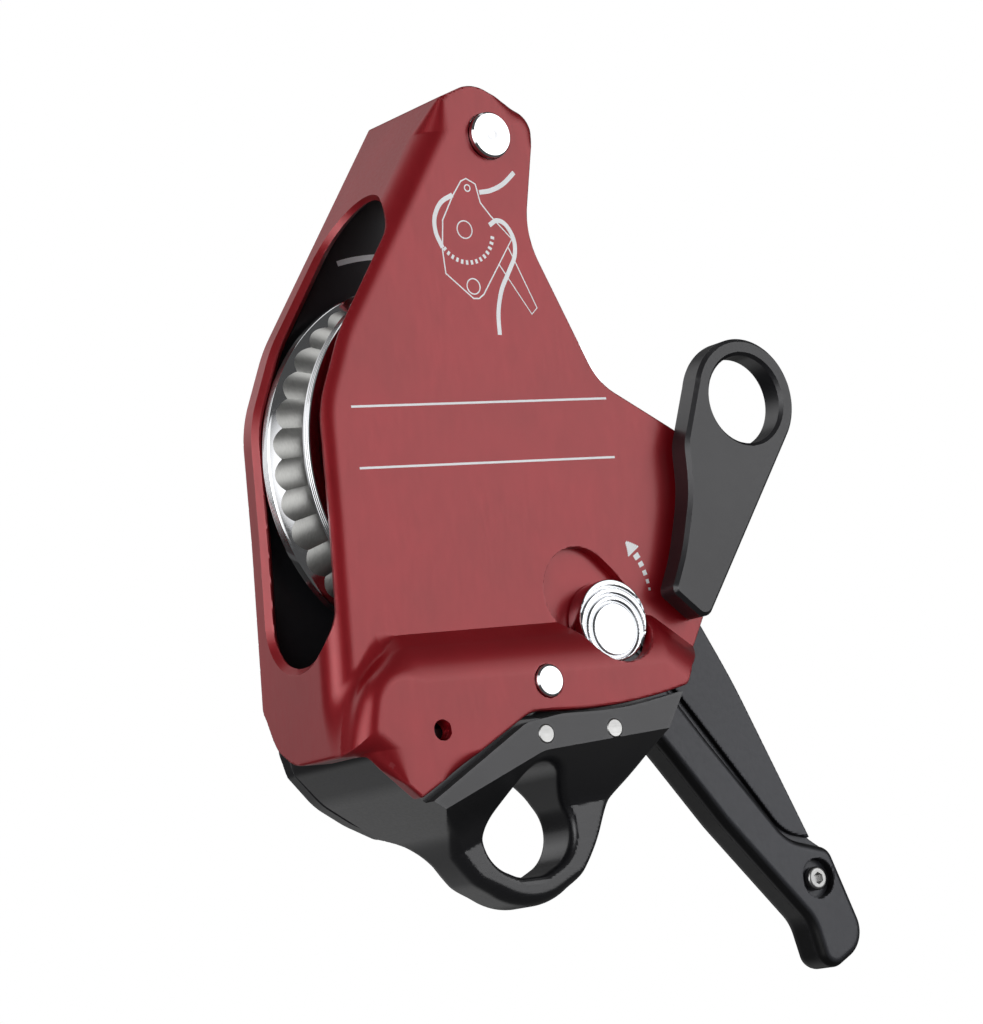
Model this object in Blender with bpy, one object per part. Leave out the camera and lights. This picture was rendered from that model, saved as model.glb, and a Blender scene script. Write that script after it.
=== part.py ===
"""Rope clutch: a sheave and brake between a fixed back plate and a swinging side plate.

Units are metres in Blender; the constants below are millimetres and mm() converts them.
+Z is up, -Y is the front, and the origin is the centre of the anchor eye.
"""

import math

import bmesh
import bpy

# Anchor block and its eye
EYE_R = 21.0
EYE_HALF = 7.75
BLOCK_REAR = 16.7
RIDGE_FRONT = -24.5
BLOCK_MID = -20.7
BLOCK_INNER = -8.0
RIDGE_LEFT = (-40.8, 7.4)
RIDGE_KINK = (-4.0, 18.2)
RIDGE_RIGHT = (38.0, 20.8)
DOWELS = ((-2.3, 22.4), (20.1, 22.2))
DOWEL_R = 2.5

# Back plate
PLATE_FRONT = 17.0
PLATE_REAR = 22.0

# Pivots, as (x, z)
TOP_PIN = (12.1, 184.6)
LATCH_PIN = (0.6, 36.1)
AXLE = (-4.0, 98.8)
HANDLE_PIVOT = (43.5, 98.8)
BECKET_EYE = (80.9, 109.0)
BECKET_POST = (73.0, 86.0)

# Side plate
SIDE_FRONT = -17.0
SIDE_LOW_FRONT = -25.0
SIDE_T = 4.0
WALL_T = 3.5
WALL_REAR = 18.0
STEP_TOP = 52.5
STEP_LOW = 44.5
STEP_DROPS = ((-90.0, 45.0), (-42.0, 0.0), (43.0, 0.0), (150.0, 75.0))
SLOT_Y = (-12.4, 14.2)
SLOT_Z = (52.0, 171.0)
SIDE_HOLE = (-34.9, 25.8)
SIDE_HOLE_R = 2.5

# Sheave
SHEAVE_R = 52.3
FLANGE_FRONT = (-8.7, -4.5)
CORE = (-4.2, 7.2)
FLANGE_REAR = (7.5, 13.0)
CORE_R = 42.0
SCALLOPS = 28
SCALLOP_DEPTH = 1.6
CORE_BORE = 18.0
DRUM_R = 20.0
DRUM_REAR = 16.5
AXLE_R = 12.0

# Latch button, carried on a lever about the latch pin
BUTTON = (28.2, 51.2)
BUTTON_R = 11.0
LATCH_TRAVEL = 21.0

# Becket
BECKET_Y = (-24.5, -18.0)
BECKET_BORE = 12.3
POST_R = 6.5

# Handle
HUB_R = 24.0
BLADE_Y = (25.0, 31.0)
RIB_Y = (28.0, 37.0)
COVER_Y = (23.0, 26.2)
HANDLE_SCREW = (121.6, -22.7)
CAM_Y = (13.9, 16.6)
CAM_R = 9.0
CAM_OFFSET = 2.0
CAM_ANGLE = 200.0

GAP = 0.3

COLOURS = {
    "red_anodised": ((0.30, 0.035, 0.045, 1.0), 0.7, 0.38),
    "black_anodised": ((0.025, 0.026, 0.03, 1.0), 0.6, 0.42),
    "polished_steel": ((0.75, 0.76, 0.78, 1.0), 1.0, 0.15),
    "brushed_steel": ((0.55, 0.55, 0.56, 1.0), 1.0, 0.35),
    "bronze": ((0.50, 0.33, 0.14, 1.0), 1.0, 0.35),
    "spring_steel": ((0.35, 0.35, 0.37, 1.0), 1.0, 0.3),
    "brake_lining": ((0.09, 0.08, 0.075, 1.0), 0.0, 0.8),
}


def mm(value):
    """Millimetres to metres."""
    return value / 1000.0


# ---------------------------------------------------------------- outlines


def arc(centre, radius, start, end, steps):
    """Points on an arc in the XZ plane, with both ends, angles in degrees from +X towards +Z."""
    points = []
    for i in range(steps + 1):
        a = math.radians(start + (end - start) * i / steps)
        points.append((centre[0] + radius * math.cos(a), centre[1] + radius * math.sin(a)))
    return points


def circle(centre, radius, steps):
    """A closed ring of points."""
    return arc(centre, radius, 0.0, 360.0 * (steps - 1) / steps, steps - 1)


def rounded(corners, step=22.0):
    """Closed outline from (x, z, r) corners, each corner replaced with an arc of radius r."""
    points = []
    count = len(corners)
    for i, (x, z, radius) in enumerate(corners):
        before = corners[i - 1]
        after = corners[(i + 1) % count]
        ux, uz = unit(before[0] - x, before[1] - z)
        vx, vz = unit(after[0] - x, after[1] - z)
        angle = math.acos(max(-1.0, min(1.0, ux * vx + uz * vz)))
        if radius <= 0.0 or angle > 3.1:
            points.append((x, z))
            continue
        reach = radius / math.tan(angle / 2)
        turn = math.pi - angle
        bx, bz = unit(ux + vx, uz + vz)
        away = radius / math.sin(angle / 2)
        cx, cz = x + bx * away, z + bz * away
        a0 = math.atan2(z + uz * reach - cz, x + ux * reach - cx)
        a1 = math.atan2(z + vz * reach - cz, x + vx * reach - cx)
        sweep = (a1 - a0 + math.pi) % (2 * math.pi) - math.pi
        steps = max(1, round(math.degrees(turn) / step))
        for k in range(steps + 1):
            a = a0 + sweep * k / steps
            points.append((cx + radius * math.cos(a), cz + radius * math.sin(a)))
    return points


def unit(x, z):
    length = math.hypot(x, z)
    return x / length, z / length


def block_low():
    """Lower edge of the anchor block, from its left side round the eye to its right side."""
    left = [(-55.5, 27.0), (-54.5, 21.5), (-47.0, 12.5), (-38.5, 6.8), (-26.0, -1.2), (-20.5, -7.5)]
    eye = arc((0.0, 0.0), EYE_R, 214.0, 322.0, 14)
    right = [(22.5, -5.0), (28.5, 3.0), (34.7, 10.5), (38.0, 20.8), (44.5, 30.0)]
    return left + eye + right


# ---------------------------------------------------------------- solids


def material(name):
    """One Principled BSDF material per finish and part, so that each can be changed alone."""
    finish, part = name
    made = bpy.data.materials.new(part)
    made.use_nodes = True
    shader = made.node_tree.nodes["Principled BSDF"]
    colour, metallic, roughness = COLOURS[finish]
    shader.inputs["Base Color"].default_value = colour
    shader.inputs["Metallic"].default_value = metallic
    shader.inputs["Roughness"].default_value = roughness
    made.diffuse_color = colour
    return made


def solid(name, finish, points, faces, at=(0.0, 0.0, 0.0), smooth=False):
    """Object from millimetre points given relative to at, with outward normals."""
    mesh = bpy.data.meshes.new(name)
    mesh.from_pydata([tuple(mm(c) for c in p) for p in points], [], faces)
    work = bmesh.new()
    work.from_mesh(mesh)
    bmesh.ops.remove_doubles(work, verts=work.verts, dist=1e-7)
    bmesh.ops.recalc_face_normals(work, faces=work.faces)
    work.to_mesh(mesh)
    work.free()
    obj = bpy.data.objects.new(name, mesh)
    obj.location = [mm(c) for c in at]
    bpy.context.scene.collection.objects.link(obj)
    if finish:
        mesh.materials.append(material((finish, name)))
    if smooth:
        mesh.shade_smooth()
    return obj


def prism(name, finish, outline, y0, y1, at=(0.0, 0.0), smooth=False):
    """Outline in XZ swept along Y from y0 to y1, with its origin at (at x, y0, at z)."""
    count = len(outline)
    points = []
    for y in (0.0, y1 - y0):
        points += [(x - at[0], y, z - at[1]) for x, z in outline]
    faces = [list(range(count)), list(range(count, 2 * count))]
    faces += [[i, (i + 1) % count, (i + 1) % count + count, i + count] for i in range(count)]
    return solid(name, finish, points, faces, (at[0], y0, at[1]), smooth)


def lathe(name, finish, profile, centre, steps=48):
    """(radius, y) profile turned about the Y axis through centre; a closed profile makes a ring."""
    points = []
    faces = []
    count = len(profile)
    for i in range(steps):
        a = 2 * math.pi * i / steps
        points += [(r * math.cos(a), y, r * math.sin(a)) for r, y in profile]
        for k in range(count):
            here, there = i * count, (i + 1) % steps * count
            faces.append([here + k, here + (k + 1) % count, there + (k + 1) % count, there + k])
    obj = solid(name, finish, points, faces, (centre[0], 0.0, centre[1]))
    obj.data.shade_smooth()
    mark_sharp(obj)
    return obj


def mark_sharp(obj, degrees=35.0):
    """Keeps flat faces flat on a smooth-shaded part."""
    work = bmesh.new()
    work.from_mesh(obj.data)
    for edge in work.edges:
        if len(edge.link_faces) == 2 and edge.calc_face_angle() > math.radians(degrees):
            edge.smooth = False
    work.to_mesh(obj.data)
    work.free()


def disc(r, y0, y1):
    """Profile of a plain pin, for lathe."""
    return [(0.0, y0), (r, y0), (r, y1), (0.0, y1)]


def ring(r0, r1, y0, y1):
    """Profile of a plain ring, for lathe."""
    return [(r0, y0), (r1, y0), (r1, y1), (r0, y1)]


def sweep_x(name, stations):
    """Cutter lofted along X through stations of (x, [(y, z), ...])."""
    points = []
    for x, section in stations:
        points += [(x, y, z) for y, z in section]
    count = len(stations[0][1])
    last = (len(stations) - 1) * count
    faces = [list(range(count)), list(range(last, last + count))]
    for s in range(len(stations) - 1):
        for k in range(count):
            a, b = s * count + k, s * count + (k + 1) % count
            faces.append([a, b, b + count, a + count])
    return helper(solid(name, None, points, faces))


def helper(obj):
    """A cutter or other construction solid that isn't part of the assembly."""
    obj.hide_render = True
    obj.display_type = "WIRE"
    return obj


def boolean(obj, other, operation="DIFFERENCE"):
    modifier = obj.modifiers.new(operation.title() + "_" + other.name, "BOOLEAN")
    modifier.operation = operation
    modifier.object = other
    modifier.solver = "EXACT"


def bore(obj, centre, radius, y0=-60.0, y1=60.0, steps=32):
    """Cuts a round hole along Y."""
    name = f"cut_{obj.name}_{len(obj.modifiers)}"
    boolean(obj, helper(prism(name, None, circle(centre, radius, steps), y0, y1)))


def carry(child, parent):
    """Parents child to parent where it stands."""
    bpy.context.view_layer.update()
    child.parent = parent
    child.matrix_parent_inverse = parent.matrix_world.inverted()


# ---------------------------------------------------------------- frame


def scoop(name, side, ridge, flat):
    """Cutter that thins the block to the eye: the milled surface falls from ridge to flat."""
    stations = []
    slope = (RIDGE_KINK[1] - RIDGE_LEFT[1]) / (RIDGE_KINK[0] - RIDGE_LEFT[0])
    rise = (RIDGE_RIGHT[1] - RIDGE_KINK[1]) / (RIDGE_RIGHT[0] - RIDGE_KINK[0])
    depth = ridge - flat
    for x in (-75.0, RIDGE_KINK[0] - 6.0, RIDGE_KINK[0] + 6.0, 60.0):
        reach = x - RIDGE_KINK[0]
        top = RIDGE_KINK[1] + (slope if reach < 0 else rise) * reach
        section = [(60.0, top + 14.0), (ridge, top)]
        for t in (0.45, 0.75, 0.93, 1.0):
            section.append((ridge - depth * t, top - 19.0 * (1 - (1 - t**2.2) ** 0.75 * (1 - t) - 0.0 * t)))
        section += [(flat, -60.0), (60.0, -60.0)]
        stations.append((x, [(side * y, z) for y, z in section]))
    return sweep_x(name, stations)


def anchor_block():
    """Block with the anchor eye; its front ridge lines the lower edge of the side plate."""
    low = block_low()
    body = prism("anchor_block", "black_anodised", low + [(44.5, 38.5), (-55.5, 38.5)], BLOCK_INNER, BLOCK_REAR)
    mid = [(44.5, 27.4), (-55.2, 27.0)]
    boolean(body, helper(prism("block_mid", None, low[1:-1] + mid, BLOCK_MID, BLOCK_INNER + 1)), "UNION")
    right = [p for p in low if p[0] > 0 and p[1] < 22.0]
    first = next(i for i, p in enumerate(low) if p[0] > -40.0)
    ridge = [(-40.8, 7.5)] + low[first:low.index(right[-1]) + 1]
    ridge += [(44.3, 29.6), (21.0, 27.3), (0.0, 27.1), (-7.0, 26.0), (-24.3, 18.1)]
    boolean(body, helper(prism("block_ridge", None, ridge, RIDGE_FRONT, BLOCK_MID + 1)), "UNION")
    boolean(body, scoop("scoop_front", -1, -RIDGE_FRONT, EYE_HALF))
    boolean(body, scoop("scoop_rear", 1, BLOCK_REAR, EYE_HALF))
    hole = rounded([(0.0, 24.5, 9.5), (-20.0, -8.5, 11.5), (-4.0, -16.0, 10.0), (4.0, -16.0, 10.0), (20.0, -8.5, 11.5)])
    boolean(body, helper(prism("eye_hole", None, hole, -60.0, 60.0)))
    for centre in DOWELS:
        bore(body, centre, DOWEL_R + GAP, steps=20)
    return body


def back_plate():
    """Fixed plate that carries the axle, the pins, the becket and the handle."""
    left = [(-55.5, 27.0, 3), (-56.2, 40.0, 0), (-52.6, 84.0, 0), (-51.2, 112.0, 30), (-41.4, 133.5, 30)]
    top = arc(TOP_PIN, 12.8, 143.0, 10.0, 9)
    right = [(22.5, 158.0, 20), (31.0, 136.0, 0), (47.0, 118.0, 20), (70.0, 107.0, 0), (83.0, 92.0, 12)]
    low_right = [(78.0, 66.0, 12), (66.0, 50.0, 8), (44.5, 31.0, 8), (38.0, 20.8, 4), (10.0, 17.5, 0)]
    low = [(-14.0, 12.0, 0), (-27.0, 1.0, 6), (-38.5, 6.8, 0), (-47.0, 12.5, 0), (-54.0, 21.0, 3)]
    corners = left + [(x, z, 0) for x, z in top] + right + low_right + low
    plate = prism("back_plate", "black_anodised", rounded(corners), PLATE_FRONT, PLATE_REAR)
    holes = [(TOP_PIN, 4.3), (AXLE, AXLE_R + GAP), (HANDLE_PIVOT, 5.8), (BECKET_POST, 3.3)]
    holes += [(centre, DOWEL_R + GAP) for centre in DOWELS]
    for centre, radius in holes:
        bore(plate, centre, radius, steps=24)
    bore(plate, BECKET_POST, 5.8, 19.2, 40.0, steps=24)
    return plate


def becket():
    """Side eye for a second rope end, with the post that joins it to the back plate."""
    eye = arc(BECKET_EYE, 17.0, -38.0, 165.0, 18)
    sides = [(60.0, 102.0, 0), (57.6, 86.0, 0), (51.8, 68.5, 0), (46.0, 57.0, 3), (57.0, 47.8, 4)]
    corners = [(x, z, 0) for x, z in eye] + sides
    body = prism("becket", "black_anodised", rounded(corners), BECKET_Y[0], BECKET_Y[1])
    post = circle(BECKET_POST, POST_R, 28)
    boolean(body, helper(prism("becket_post", None, post, BECKET_Y[1] - 1, PLATE_FRONT - GAP)), "UNION")
    bore(body, BECKET_EYE, BECKET_BORE, steps=48)
    bore(body, BECKET_POST, 3.0 + GAP, PLATE_FRONT - 20, 60.0, steps=20)
    return body


def fixed_hardware():
    """Pins, screws and the axle, all fixed to the back plate."""
    x, z = TOP_PIN
    pin = [(0.0, -19.0), (5.1, -19.0), (5.85, -18.3), (5.85, SIDE_FRONT - GAP), (4.0, SIDE_FRONT - GAP)]
    lathe("top_pin", "polished_steel", pin + [(4.0, 26.0), (0.0, 26.0)], TOP_PIN, 36)
    nut = prism("top_pin_nut", "brushed_steel", circle(TOP_PIN, 7.5, 6), PLATE_REAR + GAP, 27.0, TOP_PIN)
    bore(nut, TOP_PIN, 4.3, steps=24)
    spacer = ring(4.3, 8.0, -12.7, PLATE_FRONT - GAP)
    lathe("top_pin_spacer", "polished_steel", spacer, TOP_PIN, 32)
    for i, centre in enumerate(DOWELS):
        lathe(f"block_dowel_{i + 1}", "brushed_steel", disc(DOWEL_R, RIDGE_FRONT - 0.1, PLATE_REAR), centre, 20)
    head = [(0.0, 0.0), (3.0, 0.0), (3.0, 19.5), (5.5, 19.5), (5.5, 21.8), (0.0, 21.8)]
    lathe("becket_screw", "brushed_steel", head, BECKET_POST, 24)
    axle = [(0.0, -12.2), (14.0, -12.2), (15.0, -11.2), (15.0, -9.2), (AXLE_R, -9.2), (AXLE_R, 24.5), (0.0, 24.5)]
    lathe("sheave_axle", "polished_steel", axle, AXLE, 40)
    lathe("axle_ring", "spring_steel", ring(AXLE_R + GAP, 16.5, PLATE_REAR + GAP, 24.3), AXLE, 32)
    lathe("latch_catch", "polished_steel", disc(3.0, -13.5, BLOCK_INNER - GAP), (26.0, 33.5), 20)
    for i, side in enumerate((-1, 1)):
        centre = (25.0, AXLE[1] + side * 8.0)
        lathe(f"shoe_guide_{i + 1}", "brushed_steel", disc(1.6, CAM_Y[0], PLATE_FRONT - 0.1), centre, 16)


# ---------------------------------------------------------------- sheave


def sheave():
    """Two polished flanges on a scalloped core that grips the rope, on a plain bush."""
    r = SHEAVE_R
    y0, y1 = FLANGE_FRONT
    front = [(CORE_BORE, y0), (r - 5.0, y0), (r, y0 + 1.2), (r, y0 + 2.2), (r - 9.0, y1), (CORE_BORE, y1)]
    flange = lathe("sheave_flange_front", "polished_steel", front, AXLE, 72)
    y0, y1 = FLANGE_REAR
    rear = [(CORE_BORE, y0), (r - 9.0, y0), (r, y1 - 2.2), (r, y1 - 1.0), (r - 3.0, y1)]
    rear += [(DRUM_R, y1), (DRUM_R, DRUM_REAR), (CORE_BORE, DRUM_REAR)]
    lathe("sheave_flange_rear", "polished_steel", rear, AXLE, 72)
    outline = []
    steps = SCALLOPS * 5
    for i in range(steps):
        wave = abs(math.sin(math.pi * i / 5.0))
        radius = CORE_R - SCALLOP_DEPTH * wave
        a = 2 * math.pi * i / steps
        outline.append((AXLE[0] + radius * math.cos(a), AXLE[1] + radius * math.sin(a)))
    core = prism("sheave_core", "brushed_steel", outline, CORE[0], CORE[1], AXLE)
    bore(core, AXLE, CORE_BORE, steps=40)
    bush = ring(AXLE_R + GAP, CORE_BORE - GAP, FLANGE_FRONT[0], DRUM_REAR)
    lathe("sheave_bush", "bronze", bush, AXLE, 40)
    return flange


# ---------------------------------------------------------------- side plate


def side_outline(inset=0.0):
    """Outline of the side plate; inset moves its left side inwards."""
    i = inset
    left = [(-60.0 + i, 20.5, 4), (-61.0 + i, 38.0, 0), (-57.3 + i, 84.0, 0), (-56.0 + i, 112.0, 30)]
    left += [(-46.5 + i, 134.0, 30)]
    top = [(-4.5 + 1.1 * i, 192.5, 12), (9.5, 201.5, 14), (29.5, 188.5, 9)]
    right = [(20.0, 157.0, 40), (38.5, 115.5, 25), (63.5, 101.0, 8), (58.0, 62.0, 20), (48.5, 36.0, 5)]
    edge = arc(TOP_PIN, 156.3, -77.5, -93.0, 5)
    return left + top + right + [(x, z, 0) for x, z in edge] + [(-6.0, 28.3, 12), (-43.0, 9.8, 1.5)]


def side_plate():
    """Swinging plate with its left wall: the lower part stands proud and the wall has the rope slot."""
    body = prism("side_plate", "red_anodised", rounded(side_outline()), SIDE_LOW_FRONT, WALL_REAR, TOP_PIN)
    front, low, rear = SIDE_FRONT, SIDE_LOW_FRONT, WALL_REAR + 20
    section = [(low - 9, STEP_LOW), (low, STEP_LOW), (front, STEP_TOP)]
    boolean(body, sweep_x("step_cut", step_stations(section, low - 9)))
    inner = side_outline(WALL_T)
    inner = [(x, z, r) for x, z, r in inner[:5]] + [(-1.5, 192.5, 0), (8.0, 230.0, 0), (130.0, 230.0, 0)]
    inner += [(130.0, -40.0, 0), (-57.0 + 0.5, -40.0, 0)]
    cavity = helper(prism("side_cavity", None, rounded(inner), low + SIDE_T, rear))
    section = [(low, STEP_LOW - 2), (low + SIDE_T, STEP_LOW - 2), (front + SIDE_T, STEP_TOP - 2)]
    boolean(cavity, sweep_x("cavity_step", step_stations(section, low)))
    boolean(body, cavity)
    slot = slot_cutter()
    boolean(body, slot)
    wall_end = [(WALL_REAR - 14.0, 10.0), (WALL_REAR - 4.0, 24.0), (WALL_REAR + 1.0, 32.0), (30.0, 32.0), (30.0, 0.0)]
    boolean(body, sweep_x("wall_end", [(-80.0, wall_end), (-50.0, wall_end)]))
    pocket = button_track(BUTTON_R + 0.7)
    boolean(body, helper(prism("button_slot", None, pocket, -60.0, -5.0)))
    bore(body, TOP_PIN, 4.3, steps=24)
    bore(body, LATCH_PIN, 4.6, steps=24)
    bore(body, SIDE_HOLE, SIDE_HOLE_R, steps=20)
    return body


def step_stations(section, front):
    """Stations for a cutter above the step, which drops away towards both sides of the plate."""
    stations = []
    for x, drop in STEP_DROPS:
        moved = [(y, z - drop) for y, z in section]
        stations.append((x, moved + [(section[-1][0], 260.0), (front, 260.0)]))
    return stations


def slot_cutter():
    """Rounded slot through the left wall."""
    y0, y1 = SLOT_Y
    z0, z1 = SLOT_Z
    section = rounded([(y0, z0, 9.0), (y1, z0, 12.0), (y1, z1, 12.0), (y0, z1, 12.0)])
    return sweep_x("slot_cut", [(-90.0, section), (-1.0, section)])


def button_track(radius):
    """Outline of the curved slot that the button moves in."""
    reach = math.hypot(BUTTON[0] - LATCH_PIN[0], BUTTON[1] - LATCH_PIN[1])
    start = math.degrees(math.atan2(BUTTON[1] - LATCH_PIN[1], BUTTON[0] - LATCH_PIN[0]))
    end = start + LATCH_TRAVEL
    last = arc(LATCH_PIN, reach, end, end, 1)[0]
    outer = arc(LATCH_PIN, reach + radius, start, end, 4)
    far = arc(last, radius, end, end + 180.0, 12)[1:-1]
    inner = arc(LATCH_PIN, reach - radius, end, start, 4)
    near = arc(BUTTON, radius, start + 180.0, start + 360.0, 12)[1:-1]
    return outer + far + inner + near


def latch(plate):
    """Sprung lever behind the side plate, with the button that shows through its slot."""
    hub = arc(LATCH_PIN, 7.5, 110.0, 300.0, 12)
    end = arc(BUTTON, 8.0, -60.0, 110.0, 10)
    lever = prism("latch_lever", "brushed_steel", hub + end, -12.6, -10.2, LATCH_PIN)
    bore(lever, LATCH_PIN, 4.3, steps=24)
    bore(lever, BUTTON, 3.3, steps=20)
    face = [(0.0, -19.4), (8.0, -19.4), (8.6, -20.2), (BUTTON_R - 0.6, -20.2), (BUTTON_R, -19.6)]
    face += [(BUTTON_R, -13.2), (3.0, -13.2), (3.0, -9.7), (0.0, -9.7)]
    button = lathe("latch_button", "polished_steel", face, BUTTON, 40)
    pin = [(0.0, -26.0), (3.8, -26.0), (4.3, -25.5), (4.3, -13.4), (4.0, -13.4), (4.0, -8.4), (0.0, -8.4)]
    pivot = lathe("latch_pivot_pin", "polished_steel", pin, LATCH_PIN, 32)
    wire = coil("latch_spring", LATCH_PIN, 6.2, 0.6, -20.0, -13.6, 3.5)
    carry(lever, plate)
    carry(pivot, plate)
    carry(button, lever)
    carry(wire, lever)


def coil(name, centre, radius, wire, y0, y1, turns):
    """Round wire wound about a Y axis, with both ends capped."""
    steps, sides = int(turns * 14), 6
    points = []
    faces = []
    for i in range(steps + 1):
        a = 2 * math.pi * turns * i / steps
        for k in range(sides):
            b = 2 * math.pi * k / sides
            r = radius + wire * math.cos(b)
            y = y0 + (y1 - y0) * i / steps + wire * math.sin(b)
            points.append((r * math.cos(a), y, r * math.sin(a)))
    for i in range(steps):
        for k in range(sides):
            a, b = i * sides + k, i * sides + (k + 1) % sides
            faces.append([a, b, b + sides, a + sides])
    faces += [list(range(sides)), list(range(steps * sides, (steps + 1) * sides))]
    return solid(name, "spring_steel", points, faces, (centre[0], 0.0, centre[1]), smooth=True)


# ---------------------------------------------------------------- handle


def handle_outline():
    """Hub and blade, down to the tip."""
    hub = [(x, z, 0) for x, z in arc(HANDLE_PIVOT, HUB_R, 28.0, 216.0, 14)]
    left = [(77.5, 17.0, 0), (113.0, -28.5, 12), (121.5, -51.0, 7)]
    right = [(137.5, -42.0, 8), (123.5, -13.5, 5), (116.5, 0.0, 0), (106.0, 24.0, 0), (86.5, 62.0, 0)]
    return hub + left + right


def rib_outline(grow=0.0):
    """Thick rib along the left side of the blade, with the whole of the tip."""
    left = [(56.0 - grow, 44.5, 4), (77.5 - grow, 17.0, 0), (113.0 - grow, -28.5, 12), (121.5, -51.0 - grow, 7)]
    tip = [(137.5 + grow, -42.0, 8), (124.0 + grow, -14.0 + grow, 5), (112.0, -10.0 + grow, 14)]
    return left + tip + [(88.5 + grow, 21.0 + grow, 0), (68.0 + grow, 49.0 + grow, 4)]


def handle():
    """Brake handle on the rear, with its rib cover, bolt, washer and release cam."""
    lever = prism("handle_lever", "black_anodised", rounded(handle_outline()), BLADE_Y[0], BLADE_Y[1], HANDLE_PIVOT)
    rebate = helper(prism("rib_rebate", None, rounded(rib_outline(0.6)), 15.0, COVER_Y[1] + GAP))
    boolean(lever, rebate)
    rib = helper(prism("rib", None, rounded(rib_outline(-1.0)), RIB_Y[0], RIB_Y[1]))
    boolean(lever, rib, "UNION")
    bore(lever, HANDLE_PIVOT, 5.8, steps=28)
    bore(lever, HANDLE_SCREW, 2.3, steps=16)
    cover = prism("handle_cover", "black_anodised", rounded(rib_outline()), COVER_Y[0], COVER_Y[1])
    bore(cover, HANDLE_SCREW, 5.6, 20.0, 24.2, steps=28)
    bore(cover, HANDLE_SCREW, 2.3, steps=16)
    screw = [(0.0, 21.6), (2.0, 21.6), (2.75, 22.4), (2.75, 23.9), (2.0, 23.9), (2.0, 34.0), (0.0, 34.0)]
    screw = lathe("handle_screw", "brushed_steel", screw, HANDLE_SCREW, 24)
    washer = ring(5.8, 14.0, PLATE_REAR + GAP, BLADE_Y[0] - GAP)
    washer = lathe("handle_washer", "bronze", washer, HANDLE_PIVOT, 32)
    bolt = [(0.0, 13.6), (5.5, 13.6), (5.5, BLADE_Y[1] + GAP), (10.0, BLADE_Y[1] + GAP)]
    bolt += [(10.0, 34.0), (9.0, 35.0), (0.0, 35.0)]
    bolt = lathe("handle_bolt", "polished_steel", bolt, HANDLE_PIVOT, 32)
    middle = arc(HANDLE_PIVOT, CAM_OFFSET, CAM_ANGLE, CAM_ANGLE, 1)[0]
    cam = prism("release_cam", "polished_steel", circle(middle, CAM_R, 40), CAM_Y[0], CAM_Y[1], HANDLE_PIVOT)
    bore(cam, HANDLE_PIVOT, 5.8, steps=24)
    for part in (cover, screw, washer, bolt, cam):
        carry(part, lever)


def brake_shoe():
    """Shoe between the cam and the drum on the rear flange."""
    x, z = AXLE
    face = arc(AXLE, DRUM_R + 0.4, 16.0, -16.0, 8)
    nose = HANDLE_PIVOT[0] - CAM_R - CAM_OFFSET * math.cos(math.radians(180 - CAM_ANGLE)) - 0.4
    outline = face + [(nose - 2.0, z - 5.6), (nose, z - 3.0), (nose, z + 3.0), (nose - 2.0, z + 5.6)]
    return prism("brake_shoe", "brake_lining", outline, CAM_Y[0], CAM_Y[1], (nose, z))


def main():
    for obj in list(bpy.data.objects):
        bpy.data.objects.remove(obj, do_unlink=True)
    back_plate()
    anchor_block()
    becket()
    fixed_hardware()
    front = sheave()
    for name in ("sheave_flange_rear", "sheave_core", "sheave_bush"):
        carry(bpy.data.objects[name], front)
    plate = side_plate()
    latch(plate)
    handle()
    brake_shoe()


main()
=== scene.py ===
"""Looks of the rope clutch: fine surfaces, finishes, camera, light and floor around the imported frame.

Shapes are worked out in millimetres in the frame's own axes (+Z up, -Y the front) and are
written as metres. Most metal bodies are signed distance fields, negative inside, turned into
a fine mesh by skin(); turned parts are profiles spun about an axis along Y.
"""

import math

import bpy
import numpy as np
from mathutils import Matrix, Vector


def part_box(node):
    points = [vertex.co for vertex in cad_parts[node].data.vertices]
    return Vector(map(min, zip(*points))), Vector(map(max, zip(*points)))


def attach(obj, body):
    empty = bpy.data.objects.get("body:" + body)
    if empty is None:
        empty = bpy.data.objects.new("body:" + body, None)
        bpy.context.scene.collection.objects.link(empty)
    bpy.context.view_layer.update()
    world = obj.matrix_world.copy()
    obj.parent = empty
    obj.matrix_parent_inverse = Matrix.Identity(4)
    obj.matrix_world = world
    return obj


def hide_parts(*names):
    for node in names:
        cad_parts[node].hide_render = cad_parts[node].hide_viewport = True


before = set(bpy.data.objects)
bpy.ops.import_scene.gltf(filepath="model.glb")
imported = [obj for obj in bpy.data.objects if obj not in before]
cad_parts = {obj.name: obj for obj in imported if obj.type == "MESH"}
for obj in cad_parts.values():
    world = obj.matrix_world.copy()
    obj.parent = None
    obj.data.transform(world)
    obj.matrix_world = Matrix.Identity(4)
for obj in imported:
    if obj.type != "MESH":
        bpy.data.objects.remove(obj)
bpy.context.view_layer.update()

COARSE = 1.0  # grid steps grow by this


# ---- places read from the frame


def axis_of(node):
    """(x, z) of the Y axis through the middle of a round node."""
    low, high = (np.array(corner) * 1000.0 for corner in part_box(node))
    middle = (low + high) / 2.0
    return float(middle[0]), float(middle[2])


TOP_PIN = axis_of("top_pin")
LATCH_PIN = axis_of("latch_pivot_pin")
BUTTON = axis_of("latch_button")
AXLE = axis_of("sheave_axle")
HANDLE_PIVOT = axis_of("handle_bolt")
HANDLE_SCREW = axis_of("handle_screw")
BECKET_POST = axis_of("becket_screw")
DOWELS = (axis_of("block_dowel_1"), axis_of("block_dowel_2"))
BECKET_EYE = (80.9, 109.0)
SIDE_HOLE = (-34.9, 25.8)

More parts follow.
